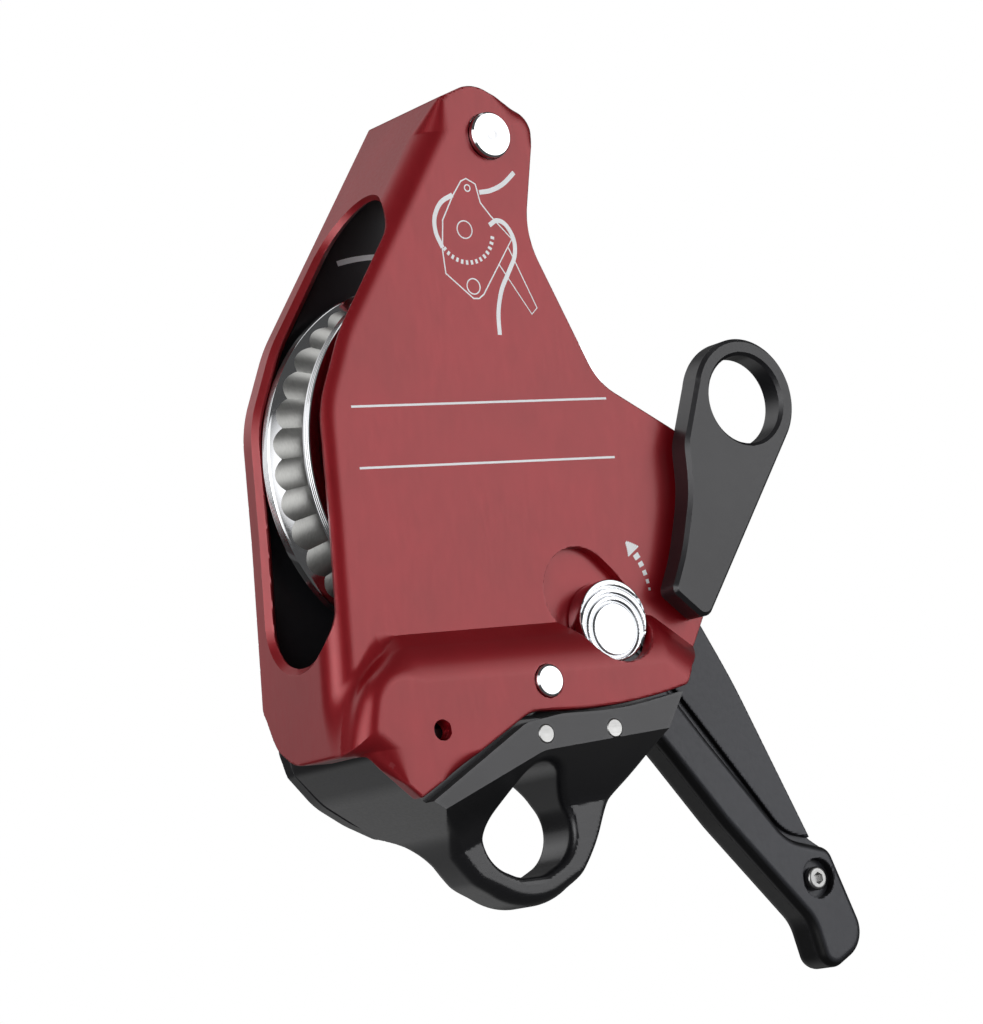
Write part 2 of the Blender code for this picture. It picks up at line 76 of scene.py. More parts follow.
PLATE_Y = -17.0  # front of the red sheet
PAD_Y = -25.0  # front of the sheet's raised pad
PLATE_T = 4.0  # thickness of the sheet
WALL_REAR = 18.0  # rear edge of the side wall
RIDGE_Y = -24.5  # front of the block's ridge, below the pad
BLOCK_MID_Y = -20.7  # front of the block's band above the ridge
SHELF_Y = -8.6  # front of the block's top, behind the pad
BLOCK_REAR_Y = 16.7  # rear of the block, against the back plate
EYE_HALF = 7.75  # half the thickness of the carabiner eye
BACK_Y = (17.0, 22.0)  # front and rear of the back plate
BECKET_Y = (-25.2, -17.4)  # front and rear of the becket's arm
LATCH_TRAVEL = 21.0  # degrees


# ---- distance fields


def meet(a, b, r=0.0):
    """What lies in both shapes, with the edge where they cross rounded to radius r."""
    if np.ndim(r) == 0 and r <= 0.0:
        return np.maximum(a, b)
    u = np.maximum(a + r, 0.0)
    v = np.maximum(b + r, 0.0)
    return np.minimum(np.maximum(a, b), -r) + np.hypot(u, v)


def join(a, b, r=0.0):
    """Both shapes as one, with the inner corner filled to radius r."""
    return -meet(-a, -b, r)


def cut(a, b, r=0.0):
    """Shape a without shape b, with the new edge rounded to radius r."""
    return meet(a, -b, r)


def bevel(a, b, width):
    """What lies in both shapes, with a flat chamfer on the edge."""
    return np.maximum(np.maximum(a, b), (a + b + width) * math.sqrt(0.5))


def slab(v, v0, v1):
    """Between two planes."""
    return np.maximum(v0 - v, v - v1)


def disc(x, z, centre, r):
    """Round bar along Y."""
    return np.hypot(x - centre[0], z - centre[1]) - r


class Outline:
    """Closed outline from (u, v, r) corners: straight runs with an arc of radius r at each corner."""

    def __init__(self, corners):
        area = sum(a[0] * b[1] - b[0] * a[1] for a, b in zip(corners, corners[1:] + corners[:1]))
        if area < 0:
            corners = corners[::-1]
        self.runs = []
        self.bends = []
        ends = []
        count = len(corners)
        for i, (x, z, r) in enumerate(corners):
            here = Vector((x, z))
            u = (Vector(corners[i - 1][:2]) - here).normalized()
            v = (Vector(corners[(i + 1) % count][:2]) - here).normalized()
            angle = u.angle(v)
            reach = r / math.tan(angle / 2)
            middle = (u + v).normalized()
            centre = here + middle * (r / math.sin(angle / 2))
            turns_left = (-u).x * v.y - (-u).y * v.x > 0
            self.bends.append((centre, r, -middle, math.sin(angle / 2), 1.0 if turns_left else -1.0))
            ends.append((here + u * reach, here + v * reach))
        for i in range(count):
            a, b = ends[i][1], ends[(i + 1) % count][0]
            side = Vector(corners[(i + 1) % count][:2]) - Vector(corners[i][:2])
            if (b - a).dot(side) < 0:
                raise ValueError(f"the arcs overlap after corner {corners[i]}")
            self.runs.append((a, (b - a).normalized(), (b - a).length))

    def distance(self, x, z):
        """Signed distance to the outline, negative inside; the nearest run or arc decides the sign."""
        best = np.full(np.broadcast(x, z).shape, 1e6)
        for a, way, length in self.runs:
            px, pz = x - a.x, z - a.y
            along = np.clip(px * way.x + pz * way.y, 0.0, length)
            across = px * way.y - pz * way.x
            gap = np.hypot(px - along * way.x, pz - along * way.y)
            best = np.where(gap < np.abs(best), np.copysign(gap, across), best)
        for c, r, out, cosine, side in self.bends:
            px, pz = x - c.x, z - c.y
            reach = np.hypot(px, pz)
            gap = side * (reach - r)
            front_lit = px * out.x + pz * out.y >= cosine * reach
            best = np.where(front_lit & (np.abs(gap) <= np.abs(best)), gap, best)
        return best


def bar(x, z, a, b, r):
    """Straight band from a to b with round ends, of half width r."""
    way = np.subtract(b, a)
    along = np.clip(((x - a[0]) * way[0] + (z - a[1]) * way[1]) / (way @ way), 0.0, 1.0)
    return np.hypot(x - a[0] - along * way[0], z - a[1] - along * way[1]) - r


def track(x, z, centre, radius, start, end, width):
    """Band of half width `width` along an arc, with round ends; angles in degrees."""
    px, pz = x - centre[0], z - centre[1]
    middle = math.radians((start + end) / 2)
    half = math.radians((end - start) / 2)
    turn = np.arctan2(pz, px) - middle
    turn = (turn + math.pi) % (2 * math.pi) - math.pi
    held = np.clip(turn, -half, half) + middle
    return np.hypot(px - radius * np.cos(held), pz - radius * np.sin(held)) - width


def probe(field, p, reach):
    """Value and gradient of a field at points p, from four samples around each."""
    value = 0.0
    slope = np.zeros_like(p)
    for corner in ((1, -1, -1), (-1, -1, 1), (-1, 1, -1), (1, 1, 1)):
        q = p + np.array(corner) * reach
        f = field(q[:, 0], q[:, 1], q[:, 2])
        value = value + f / 4
        slope += f[:, None] * np.array(corner) / (4 * reach)
    return value, slope


def crossings(field, values, low, step):
    """For each axis: the number of every grid edge the surface crosses, with its point and normal."""
    numbers, points = [], []
    start = 0
    for way in range(3):
        n = values.shape[way]
        near = np.take(values, range(n - 1), axis=way)
        far = np.take(values, range(1, n), axis=way)
        hit = (near < 0) != (far < 0)
        number = np.full(values.shape, -1, np.int64)
        at = np.argwhere(hit)
        number[at[:, 0], at[:, 1], at[:, 2]] = start + np.arange(len(at))
        start += len(at)
        share = near[hit] / (near[hit] - far[hit])
        spot = at.astype(float)
        spot[:, way] += share
        numbers.append(number)
        points.append(low + spot * step)
    points = np.concatenate(points)
    value, slope = probe(field, points, 0.02)
    size = np.maximum(np.linalg.norm(slope, axis=1), 0.3)[:, None]
    normals = slope / size
    points = points - normals * np.clip(value[:, None] / size, -0.3 * step, 0.3 * step)
    return numbers, points, normals


def place_vertices(inside, numbers, points, normals, low, step):
    """One vertex in each crossed cell, where the planes through its crossings meet best."""
    filled = np.zeros([n - 1 for n in inside.shape], np.int8)
    nx, ny, nz = filled.shape
    for a in (0, 1):
        for b in (0, 1):
            for c in (0, 1):
                filled += inside[a : a + nx, b : b + ny, c : c + nz]
    active = (filled > 0) & (filled < 8)
    index = np.full(active.shape, -1, np.int64)
    cells = np.argwhere(active)
    index[active] = np.arange(len(cells))
    planes = np.zeros((len(cells), 3, 3))
    target = np.zeros((len(cells), 3))
    middle = np.zeros((len(cells), 3))
    facing = np.zeros((len(cells), 3))
    count = np.zeros((len(cells), 1))
    for way in range(3):
        u, v = (way + 1) % 3, (way + 2) % 3
        for du in (0, 1):
            for dv in (0, 1):
                at = cells.copy()
                at[:, u] += du
                at[:, v] += dv
                number = numbers[way][at[:, 0], at[:, 1], at[:, 2]]
                used = (number >= 0)[:, None]
                p = np.where(used, points[number], 0.0)
                n = np.where(used, normals[number], 0.0)
                planes += n[:, :, None] * n[:, None, :]
                target += n * (n * p).sum(1)[:, None]
                middle += p
                facing += n
                count += used
    middle /= count
    hold = 0.04 * np.eye(3)
    found = np.linalg.solve(planes + hold, (target + 0.04 * middle)[:, :, None])[:, :, 0]
    base = low + cells * step
    found = np.clip(found, base - 0.1 * step, base + 1.1 * step)
    crease = np.linalg.norm(facing / count, axis=1) < 0.985
    return index, found, crease


def quads_between(inside, index):
    """One quad for each grid edge that crosses the surface, facing out."""
    found = []
    for way in range(3):
        u, v = (way + 1) % 3, (way + 2) % 3
        near = np.take(inside, range(inside.shape[way] - 1), axis=way)
        far = np.take(inside, range(1, inside.shape[way]), axis=way)
        for flip, hit in ((False, near & ~far), (True, far & ~near)):
            at = np.argwhere(hit)
            ring = []
            for du, dv in ((1, 1), (0, 1), (0, 0), (1, 0)):
                cell = at.copy()
                cell[:, u] -= du
                cell[:, v] -= dv
                ring.append(index[cell[:, 0], cell[:, 1], cell[:, 2]])
            found.append(np.stack(ring[::-1] if flip else ring, axis=1))
    return np.concatenate(found)


def skin(name, field, low, high, step, **look):
    """Fine mesh of a field's zero surface inside the box from low to high, in millimetres."""
    step *= COARSE
    low = np.array(low, float)
    axes = [np.arange(a, b + step, step) for a, b in zip(low, high)]
    grid = (axes[0][:, None, None], axes[1][None, :, None], axes[2][None, None, :])
    values = np.broadcast_to(field(*grid), [len(a) for a in axes])
    inside = values < 0
    rim = inside.copy()
    rim[1:-1, 1:-1, 1:-1] = False
    if rim.any():
        raise ValueError(f"{name} reaches the side of its box")
    numbers, spots, facing = crossings(field, values, low, step)
    index, points, crease = place_vertices(inside, numbers, spots, facing, low, step)
    faces = quads_between(inside, index)
    value, slope = probe(field, points, 0.04)
    size = np.maximum((slope**2).sum(1), 0.3)
    move = slope * np.clip(value / size, -step, step)[:, None]
    points -= np.where(crease[:, None], 0.0, move)
    normals = slope / np.maximum(np.linalg.norm(slope, axis=1), 1e-9)[:, None]
    across = np.cross(points[faces[:, 2]] - points[faces[:, 0]], points[faces[:, 3]] - points[faces[:, 1]])
    across /= np.maximum(np.linalg.norm(across, axis=1), 1e-12)[:, None]
    corner = normals[faces]
    corner = np.where(crease[faces][:, :, None], across[:, None, :], corner)
    return piece(name, points, faces, normals=corner.reshape(-1, 3), **look)


# ---- pieces


def piece(name, points, faces, material, body, finish=None, stands_for=(), normals=None, sharp=None):
    """Mesh object from millimetre points that rides on a body and may stand for CAD nodes."""
    mesh = bpy.data.meshes.new(name)
    faces = np.asarray(faces)
    count, sides = faces.shape
    mesh.vertices.add(len(points))
    mesh.vertices.foreach_set("co", (np.asarray(points, float) / 1000.0).astype(np.float32).ravel())
    mesh.loops.add(count * sides)
    mesh.loops.foreach_set("vertex_index", faces.astype(np.int32).ravel())
    mesh.polygons.add(count)
    mesh.polygons.foreach_set("loop_start", np.arange(0, count * sides, sides, dtype=np.int32))
    mesh.update(calc_edges=True)
    mesh.polygons.foreach_set("use_smooth", np.ones(count, bool))
    if normals is not None:
        mesh.normals_split_custom_set(normals.astype(np.float32))
    if sharp is not None:
        mesh.set_sharp_from_angle(angle=math.radians(sharp))
    mesh.materials.append(material)
    obj = bpy.data.objects.new(name, mesh)
    bpy.context.scene.collection.objects.link(obj)
    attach(obj, body)
    if stands_for:
        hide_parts(*stands_for)
    return obj


def fillet_profile(corners):
    """(radius, y) profile whose (radius, y, fillet) corners are rounded, as a list of points."""
    points = []
    last = len(corners) - 1
    for i, (r, y, fillet) in enumerate(corners):
        if fillet <= 0 or i in (0, last):
            points.append((r, y))
            continue
        here = Vector((r, y))
        u = (Vector(corners[i - 1][:2]) - here).normalized()
        v = (Vector(corners[i + 1][:2]) - here).normalized()
        angle = u.angle(v)
        start = here + u * fillet / math.tan(angle / 2)
        end = here + v * fillet / math.tan(angle / 2)
        centre = here + (u + v).normalized() * fillet / math.sin(angle / 2)
        for k in range(7):
            spot = start.lerp(end, k / 6)
            spot = centre + (spot - centre).normalized() * fillet
            points.append((spot.x, spot.y))
    return points


def lathe(name, corners, centre, turns=128, closed=False, **look):
    """Profile of (radius, y, fillet) corners spun about the Y axis through centre."""
    profile = np.array(fillet_profile(corners))
    count = len(profile)
    a = np.linspace(0, 2 * math.pi, turns, endpoint=False)[:, None]
    radius = np.maximum(profile[None, :, 0], 0.001)
    x = centre[0] + radius * np.cos(a)
    z = centre[1] + radius * np.sin(a)
    y = profile[None, :, 1] + 0.0 * a
    points = np.stack([x, y, z], axis=2).reshape(-1, 3)
    spans = count if closed else count - 1
    i, k = np.meshgrid(np.arange(turns), np.arange(spans), indexing="ij")
    here, there = i * count, (i + 1) % turns * count
    faces = np.stack([here + k, there + k, there + (k + 1) % count, here + (k + 1) % count], axis=2)
    return piece(name, points, faces.reshape(-1, 4), sharp=34.0, **look)


def polar(name, centre, radius, y, **look):
    """Closed ring surface about a Y axis, from radius and y tables of shape (turns, profile)."""
    turns, count = radius.shape
    a = np.linspace(0, 2 * math.pi, turns, endpoint=False)[:, None]
    points = np.stack([centre[0] + radius * np.cos(a), y + 0 * a, centre[1] + radius * np.sin(a)], axis=2)
    i, k = np.meshgrid(np.arange(turns), np.arange(count), indexing="ij")
    here, there = i * count, (i + 1) % turns * count
    after = (k + 1) % count
    faces = np.stack([here + k, there + k, there + after, here + after], axis=2)
    return piece(name, points.reshape(-1, 3), faces.reshape(-1, 4), sharp=30.0, **look)


# ---- finishes


class Nodes:
    """Small helper that adds and links shader nodes."""

    def __init__(self, material):
        material.use_nodes = True
        self.tree = material.node_tree
        self.shader = self.tree.nodes["Principled BSDF"]

    def add(self, kind, **settings):
        node = self.tree.nodes.new(kind)
        for key, value in settings.items():
            if hasattr(node, key):
                setattr(node, key, value)
            else:
                node.inputs[key.replace("_", " ")].default_value = value
        return node

    def link(self, source, target):
        self.tree.links.new(source, target)

    def grain(self, stretch, turn, scale, detail=4.0):
        """Noise stretched into brush lines, in object space."""
        place = self.add("ShaderNodeTexCoord")
        mapping = self.add("ShaderNodeMapping")
        mapping.inputs["Rotation"].default_value = [math.radians(v) for v in turn]
        mapping.inputs["Scale"].default_value = stretch
        self.link(place.outputs["Object"], mapping.inputs["Vector"])
        noise = self.add("ShaderNodeTexNoise", Scale=scale, Detail=detail, Roughness=0.6)
        self.link(mapping.outputs["Vector"], noise.inputs["Vector"])
        return noise.outputs["Fac"]

    def ramp(self, source, stops):
        """Colours along (position, colour) stops."""
        node = self.add("ShaderNodeValToRGB")
        elements = node.color_ramp.elements
        while len(elements) < len(stops):
            elements.new(0.5)
        for element, (position, colour) in zip(elements, stops):
            element.position = position
            element.color = (*colour, 1.0)
        self.link(source, node.inputs["Fac"])
        return node.outputs["Color"]

    def spread(self, source, low, high, start=0.3, stop=0.7):
        """Value that runs from low to high as the source runs from start to stop."""
        node = self.add("ShaderNodeMapRange")
        node.inputs["From Min"].default_value = start
        node.inputs["From Max"].default_value = stop
        node.inputs["To Min"].default_value = low
        node.inputs["To Max"].default_value = high
        self.link(source, node.inputs["Value"])
        return node.outputs["Result"]

    def mix(self, factor, base, colour):
        """Blend from the base socket to one colour."""
        node = self.add("ShaderNodeMix", data_type="RGBA")
        self.link(factor, node.inputs["Factor"])
        self.link(base, node.inputs["A"])
        node.inputs["B"].default_value = (*colour, 1.0)
        return node.outputs["Result"]


DRIFT_SCALE = 38.0
FINE_SHARE = 0.45
DRIFT_SHARE = 0.55
LINE_HEIGHT = 0.00004


def metal(name, colours, roughness, brush, bump, metallic=1.0, turn=(0, 0, 0), coat=0.0, coat_roughness=0.3,
          edge_highlight=None, front_lit=None):
    """Metal finish: broad colour drift, and brush lines in colour, roughness and bump.

    brush is how often the lines repeat along each axis, and turn is their rotation in degrees. edge_highlight
    is
    a painted highlight: the paler colour that sharp edges, found by pointiness, are mixed towards. front_lit
    is
    painted light: the paler colour of faces that look to the front.
    """
    material = bpy.data.materials.new(name)
    n = Nodes(material)
    drift = n.grain((1.0, 1.0, 1.0), (0.0, 0.0, 0.0), DRIFT_SCALE)
    fine = n.grain(brush, turn, 1.0, 3.0)
    blotch = n.add("ShaderNodeMath", operation="MULTIPLY_ADD")
    blotch.inputs[1].default_value = FINE_SHARE
    n.link(fine, blotch.inputs[0])
    n.link(n.spread(drift, 0.0, DRIFT_SHARE), blotch.inputs[2])
    colour = n.ramp(blotch.outputs["Value"], [(0.15, colours[0]), (0.85, colours[1])])
    # Painted highlight: sharp convex edges, found by pointiness, are mixed towards a paler colour.
    if edge_highlight:
        geometry = n.add("ShaderNodeNewGeometry")
        edge = n.spread(geometry.outputs["Pointiness"], 0.0, 0.7, 0.515, 0.58)
        colour = n.mix(edge, colour, edge_highlight)
    # Painted light: faces that look to the front are mixed towards a paler colour, as if lit from there.
    if front_lit:
        place = n.add("ShaderNodeTexCoord")
        parts = n.add("ShaderNodeSeparateXYZ")
        n.link(place.outputs["Normal"], parts.inputs[0])
        front_lit_share = n.spread(parts.outputs["Y"], 1.0, 0.0, -0.97, -0.80)
        colour = n.mix(front_lit_share, colour, front_lit)
    n.link(colour, n.shader.inputs["Base Color"])
    n.link(n.spread(fine, roughness[0], roughness[1], 0.25, 0.75), n.shader.inputs["Roughness"])
    height = n.add("ShaderNodeBump", Strength=bump, Distance=LINE_HEIGHT)
    n.link(fine, height.inputs["Height"])
    n.link(height.outputs["Normal"], n.shader.inputs["Normal"])
    n.link(height.outputs["Normal"], n.shader.inputs["Coat Normal"])
    n.shader.inputs["Metallic"].default_value = metallic
    n.shader.inputs["Coat Weight"].default_value = coat
    n.shader.inputs["Coat Roughness"].default_value = coat_roughness
    material.diffuse_color = (*colours[1], 1.0)
    return material


def anodised():
    """Anodised finishes: coloured metal under a clear coat, with painted edge highlights; the lever's black
    is painted shade.
    """
    red = [(0.340, 0.002, 0.008), (0.420, 0.004, 0.014)]
    black = [(0.016, 0.016, 0.019), (0.026, 0.026, 0.030)]
    # The lever's black: a darker copy of the frame's black anodise, painted shade.
    shaded_black = [(0.007, 0.007, 0.008), (0.013, 0.013, 0.015)]
    # Paler colour for the black's sharp edges: painted highlight.
    black_edge_highlight = (0.05, 0.05, 0.055)
    return {
        # The red's pinkish edge colour is a painted highlight.
        "red": metal(
            "red_anodised_brushed", red, metallic=0.5, roughness=(0.40, 0.52), brush=(1800.0, 900.0, 160.0),
            turn=(0, 38, 0), bump=0.22, coat=0.8, coat_roughness=0.24, edge_highlight=(0.42, 0.05, 0.06)),
        "black": metal(
            "black_anodised", black, metallic=0.4, roughness=(0.34, 0.44), brush=(1500.0, 1500.0, 900.0),
            turn=(0, 20, 0), bump=0.06, coat=0.62, edge_highlight=black_edge_highlight),
        # Same black anodise as the frame, made darker as painted shade, with paler front faces as painted
        # light and a painted highlight on its edges.
        "black_lever_shaded": metal(
            "black_anodised_lever_shaded", shaded_black, metallic=0.3, roughness=(0.34, 0.44),
            brush=(1200.0, 1200.0, 700.0), turn=(0, -35, 0), bump=0.06, coat=0.14, coat_roughness=0.2,
            edge_highlight=(0.03, 0.03, 0.034), front_lit=(0.058, 0.060, 0.070)),
        "black_block": metal(
            "black_anodised_block", black, metallic=0.4, roughness=(0.30, 0.40), brush=(150.0, 900.0, 2600.0),
            turn=(0, 22, 0), bump=0.22, coat=0.6, coat_roughness=0.2, edge_highlight=black_edge_highlight),
    }


def bare_metals():
    """Finishes of the bare steel, bronze, lining and etched marks."""
    return {
        "polished": metal("polished_steel", [(0.72, 0.73, 0.75), (0.80, 0.81, 0.83)], roughness=(0.06, 0.14),
                          brush=(1200.0,) * 3, bump=0.03),
        "brushed": metal("brushed_steel", [(0.44, 0.44, 0.44), (0.62, 0.62, 0.61)], roughness=(0.28, 0.42),
                         brush=(60.0, 4000.0, 4000.0), bump=0.25),
        "scallop": metal("scallop_steel", [(0.34, 0.34, 0.33), (0.62, 0.62, 0.60)], roughness=(0.28, 0.42),
                         brush=(4500.0, 300.0, 900.0), bump=0.5),
        "bronze": metal("bearing_bronze", [(0.42, 0.26, 0.10), (0.55, 0.36, 0.16)], roughness=(0.28, 0.4),
                        brush=(1500.0,) * 3, bump=0.15),
        "spring": metal("spring_steel", [(0.30, 0.30, 0.32), (0.42, 0.42, 0.44)], roughness=(0.2, 0.3),
                        brush=(1500.0,) * 3, bump=0.1),
        "lining": metal("brake_lining", [(0.05, 0.045, 0.04), (0.11, 0.095, 0.085)], roughness=(0.75, 0.9),
                        brush=(2500.0,) * 3, bump=0.8, metallic=0.0),
        "mark": metal("etched_mark", [(0.80, 0.81, 0.83), (0.90, 0.91, 0.93)], roughness=(0.42, 0.55),
                      brush=(5000.0,) * 3, bump=0.2, metallic=0.7),
    }


FINISH = {**anodised(), **bare_metals()}


# ---- side plate

# SIDE is the whole plate and INNER its hollow; PAD and PAD_FACE are the foot and the top of the pad's step.
SIDE = Outline([
    (-62.1, 21.8, 1.0), (-57.4, 82.0, 260.0), (-55.6, 113.5, 34.0), (-46.0, 134.0, 45.0),
    (-1.8, 195.4, 1.5), (9.3, 199.6, 11.0), (28.5, 189.9, 6.0), (20.2, 157.5, 24.0), (37.4, 116.5, 18.0),
    (64.5, 100.6, 8.0), (65.0, 56.0, 10.0), (56.0, 41.5, 10.0), (49.9, 37.0, 3.0), (46.4, 32.0, 2.0),
    (25.16, 27.4, 156.3),
    (-6.0, 28.6, 12.0), (-43.9, 9.0, 1.2), (-57.3, 21.4, 5.0),
])
PAD = Outline([(-90.0, 1.0, 1.0), (-43.8, 51.8, 12.0), (43.2, 52.4, 6.0), (75.0, 29.0, 1.0),
               (75.0, -20.0, 1.0), (-90.0, -20.0, 1.0)])
PAD_FACE = Outline([(-74.5, -20.0, 1.0), (-53.6, 44.2, 14.0), (41.5, 44.2, 6.0), (75.0, 19.0, 1.0),
                    (75.0, -20.0, 1.0)])
INNER = Outline([
    (-58.8, -30.0, 1.0), (-57.6, 38.0, 1.0), (-53.9, 82.0, 200.0), (-52.1, 112.0, 30.0), (-42.6, 133.0, 40.0),
    (1.9, 195.8, 1.0), (9.5, 232.0, 1.0), (130.0, 232.0, 1.0), (130.0, -30.0, 1.0),
])
# The side wall's window and the end that is cut off it, as (y, z).
WALL_SLOT = Outline([(-14.2, 46.8, 13.3), (12.6, 46.8, 13.3), (12.6, 170.4, 13.3), (-14.2, 170.4, 13.3)])
WALL_END = Outline([(-14.0, 8.0, 1.0), (-8.0, 21.1, 5.0), (4.5, 22.4, 14.0), (12.5, 27.4, 9.0),
                    (18.5, 39.0, 1.0), (40.0, 40.0, 1.0), (40.0, 8.0, 1.0)])

BUTTON_REACH = math.hypot(BUTTON[0] - LATCH_PIN[0], BUTTON[1] - LATCH_PIN[1])
BUTTON_ANGLE = math.degrees(math.atan2(BUTTON[1] - LATCH_PIN[1], BUTTON[0] - LATCH_PIN[0]))
POCKET_R = 11.8
POCKET_FLOOR_Y = -14.3
STEM_ANGLE = BUTTON_ANGLE - 6.6  # the stem sits back along the track, so the button hides its slot
STEM_R = 2.4
STEM_GAP = 0.35
STEM = (LATCH_PIN[0] + BUTTON_REACH * math.cos(math.radians(STEM_ANGLE)),
        LATCH_PIN[1] + BUTTON_REACH * math.sin(math.radians(STEM_ANGLE)))

EDGE_R = 0.8
BEND_R = 7.1
WALL_FILLET = 3.0
WINDOW_CHAMFER = 1.5
LATCH_BORE_R = 4.5
TOP_BORE_R = 6.45
CREST_R = 2.45
THREAD_PITCH = 0.8
THREAD_DEPTH = 0.22


def latch_track(x, z, start, width):
    """Band that a round piece sweeps as the latch swings through its travel."""
    return track(x, z, LATCH_PIN, BUTTON_REACH, start, start + LATCH_TRAVEL, width)


def plate_front(x, y, z, back):
    """Behind the plate's front faces, moved back by `back`: the pad stands proud below a sloping step."""
    foot = PAD.distance(x, z)
    rise = PAD_FACE.distance(x, z) - foot
    height = PLATE_Y - PAD_Y
    share = np.clip((PLATE_Y + back - y) / height, 0.0, 1.6)
    flank = (foot + 0.6 * back + share * rise) / np.sqrt(1.0 + (rise / height) ** 2)
    bump = meet(PAD_Y + back - y, flank, 4.5 if back == 0 else 2.0)
    return join(PLATE_Y + back - y, bump, 2.5 * np.clip((-40.0 - x) / 6.0, 0.0, 1.0))


def bend_share(x, z):
    """1 where the sheet bends round into the side wall, 0 along its free edges."""
    left = np.clip((-24.0 - x + 0.72 * np.maximum(z - 112.0, 0.0)) / 12.0, 0.0, 1.0)
    return left * np.clip((z - 13.0) / 9.0, 0.0, 1.0) * np.clip((196.0 - z) / 10.0, 0.0, 1.0)


def side_plate(x, y, z):
    """Red sheet with its side wall, the window in the wall, and the latch's pocket, slot and holes."""
    edge_r = EDGE_R + (BEND_R - EDGE_R) * bend_share(x, z)
    body = meet(SIDE.distance(x, z), plate_front(x, y, z, 0.0), edge_r)
    body = np.maximum(body, y - WALL_REAR)
    body = cut(body, meet(INNER.distance(x, z), plate_front(x, y, z, PLATE_T), WALL_FILLET), 0.4)
    body = bevel(body, -np.maximum(WALL_SLOT.distance(y, z), x + 8.0), WINDOW_CHAMFER)
    body = cut(body, np.maximum(WALL_END.distance(y, z), x + 46.0), 0.5)
    body = cut(body, np.maximum(latch_track(x, z, BUTTON_ANGLE, POCKET_R), y - POCKET_FLOOR_Y), 0.45)
    body = cut(body, latch_track(x, z, STEM_ANGLE, STEM_R + STEM_GAP), 0.2)
    body = cut(body, disc(x, z, LATCH_PIN, LATCH_BORE_R), 0.3)
    body = cut(body, disc(x, z, TOP_PIN, TOP_BORE_R), 0.3)
    thread = THREAD_DEPTH * np.abs((y / THREAD_PITCH) % 1.0 - 0.5) * 2.0
    return cut(body, disc(x, z, SIDE_HOLE, CREST_R + thread), 0.25)


# ---- anchor block

BLOCK = Outline([
    (-55.5, 26.6, 1.0), (-54.9, 21.5, 6.0), (-47.0, 12.6, 20.0), (-38.5, 6.8, 40.0), (-27.0, -1.0, 30.0),
    (-16.0, -10.5, 0.5), (0.0, -5.0, 1.0), (15.0, -11.0, 0.5), (22.5, -4.4, 30.0), (28.5, 3.4, 30.0),
    (34.7, 10.5, 20.0), (38.2, 20.8, 8.0), (44.4, 30.0, 1.0), (44.4, 38.5, 1.0), (-55.5, 38.5, 1.0),
])
EYE_R = 21.0
EYE_JOIN_R = 8.0
EYE = Outline([(0.4, 22.2, 9.0), (-19.6, -6.0, 10.5), (-4.0, -13.2, 9.0), (4.0, -13.2, 9.0),
               (19.6, -6.0, 10.5)])
MID_TOP = Outline([(-80.0, 26.4, 1.0), (-58.0, 26.4, 2.0), (46.0, 27.4, 1.0), (80.0, 27.4, 1.0),
                   (80.0, -40.0, 1.0), (-80.0, -40.0, 1.0)])
RIDGE_TOP = Outline([(-41.2, 7.6, 0.6), (-8.0, 25.8, 9.0), (4.0, 27.3, 20.0), (24.0, 27.0, 120.0),
                     (44.6, 30.4, 0.6), (80.0, 20.0, 1.0), (60.0, -60.0, 1.0), (-60.0, -60.0, 1.0),
                     (-41.0, -10.0, 1.0)])
RIDGE_LOW = Outline([(-90.0, -14.0, 1.0), (-3.5, 18.2, 14.0), (39.0, 20.9, 1.0), (90.0, 24.0, 1.0),
                     (90.0, -90.0, 1.0), (-90.0, -90.0, 1.0)])
REAR_LOW = Outline([(-90.0, -34.0, 1.0), (-3.5, 19.0, 14.0), (39.0, 21.5, 1.0), (90.0, 24.0, 1.0),
                    (90.0, -90.0, 1.0), (-90.0, -90.0, 1.0)])
SCOOP_RUN = 15.5  # how far below the ridge the front scoop reaches the eye's face
REAR_RUN = 13.0
DOWEL_BORE_R = 2.55


def anchor_block(x, y, z):
    """Block that narrows by a scoop at the front and rear to the eye, under the pad's stepped seat."""
    edge = join(BLOCK.distance(x, z), np.hypot(x, z) - EYE_R, EYE_JOIN_R)
    fall = np.clip(-RIDGE_LOW.distance(x, z) / SCOOP_RUN, 0.0, 1.0)
    front = EYE_HALF - (EYE_HALF + RIDGE_Y) * (1.0 - fall) ** 1.4
    body = meet(edge, (-front - y) * 0.75, 3.4 * fall)
    fall = np.clip(-REAR_LOW.distance(x, z) / REAR_RUN, 0.0, 1.0)
    rear = EYE_HALF + (BLOCK_REAR_Y - EYE_HALF) * (1.0 - fall) ** 1.8
    body = meet(body, (y - rear) * 0.8, 2.4 * fall)
    under = np.minimum(RIDGE_TOP.distance(x, z), np.maximum(MID_TOP.distance(x, z), BLOCK_MID_Y - y))
    body = np.maximum(body, np.minimum(under, SHELF_Y - y))
    for centre in DOWELS:
        body = cut(body, disc(x, z, centre, DOWEL_BORE_R), 0.0)
    return cut(body, EYE.distance(x, z), 2.0)


# ---- back plate and becket

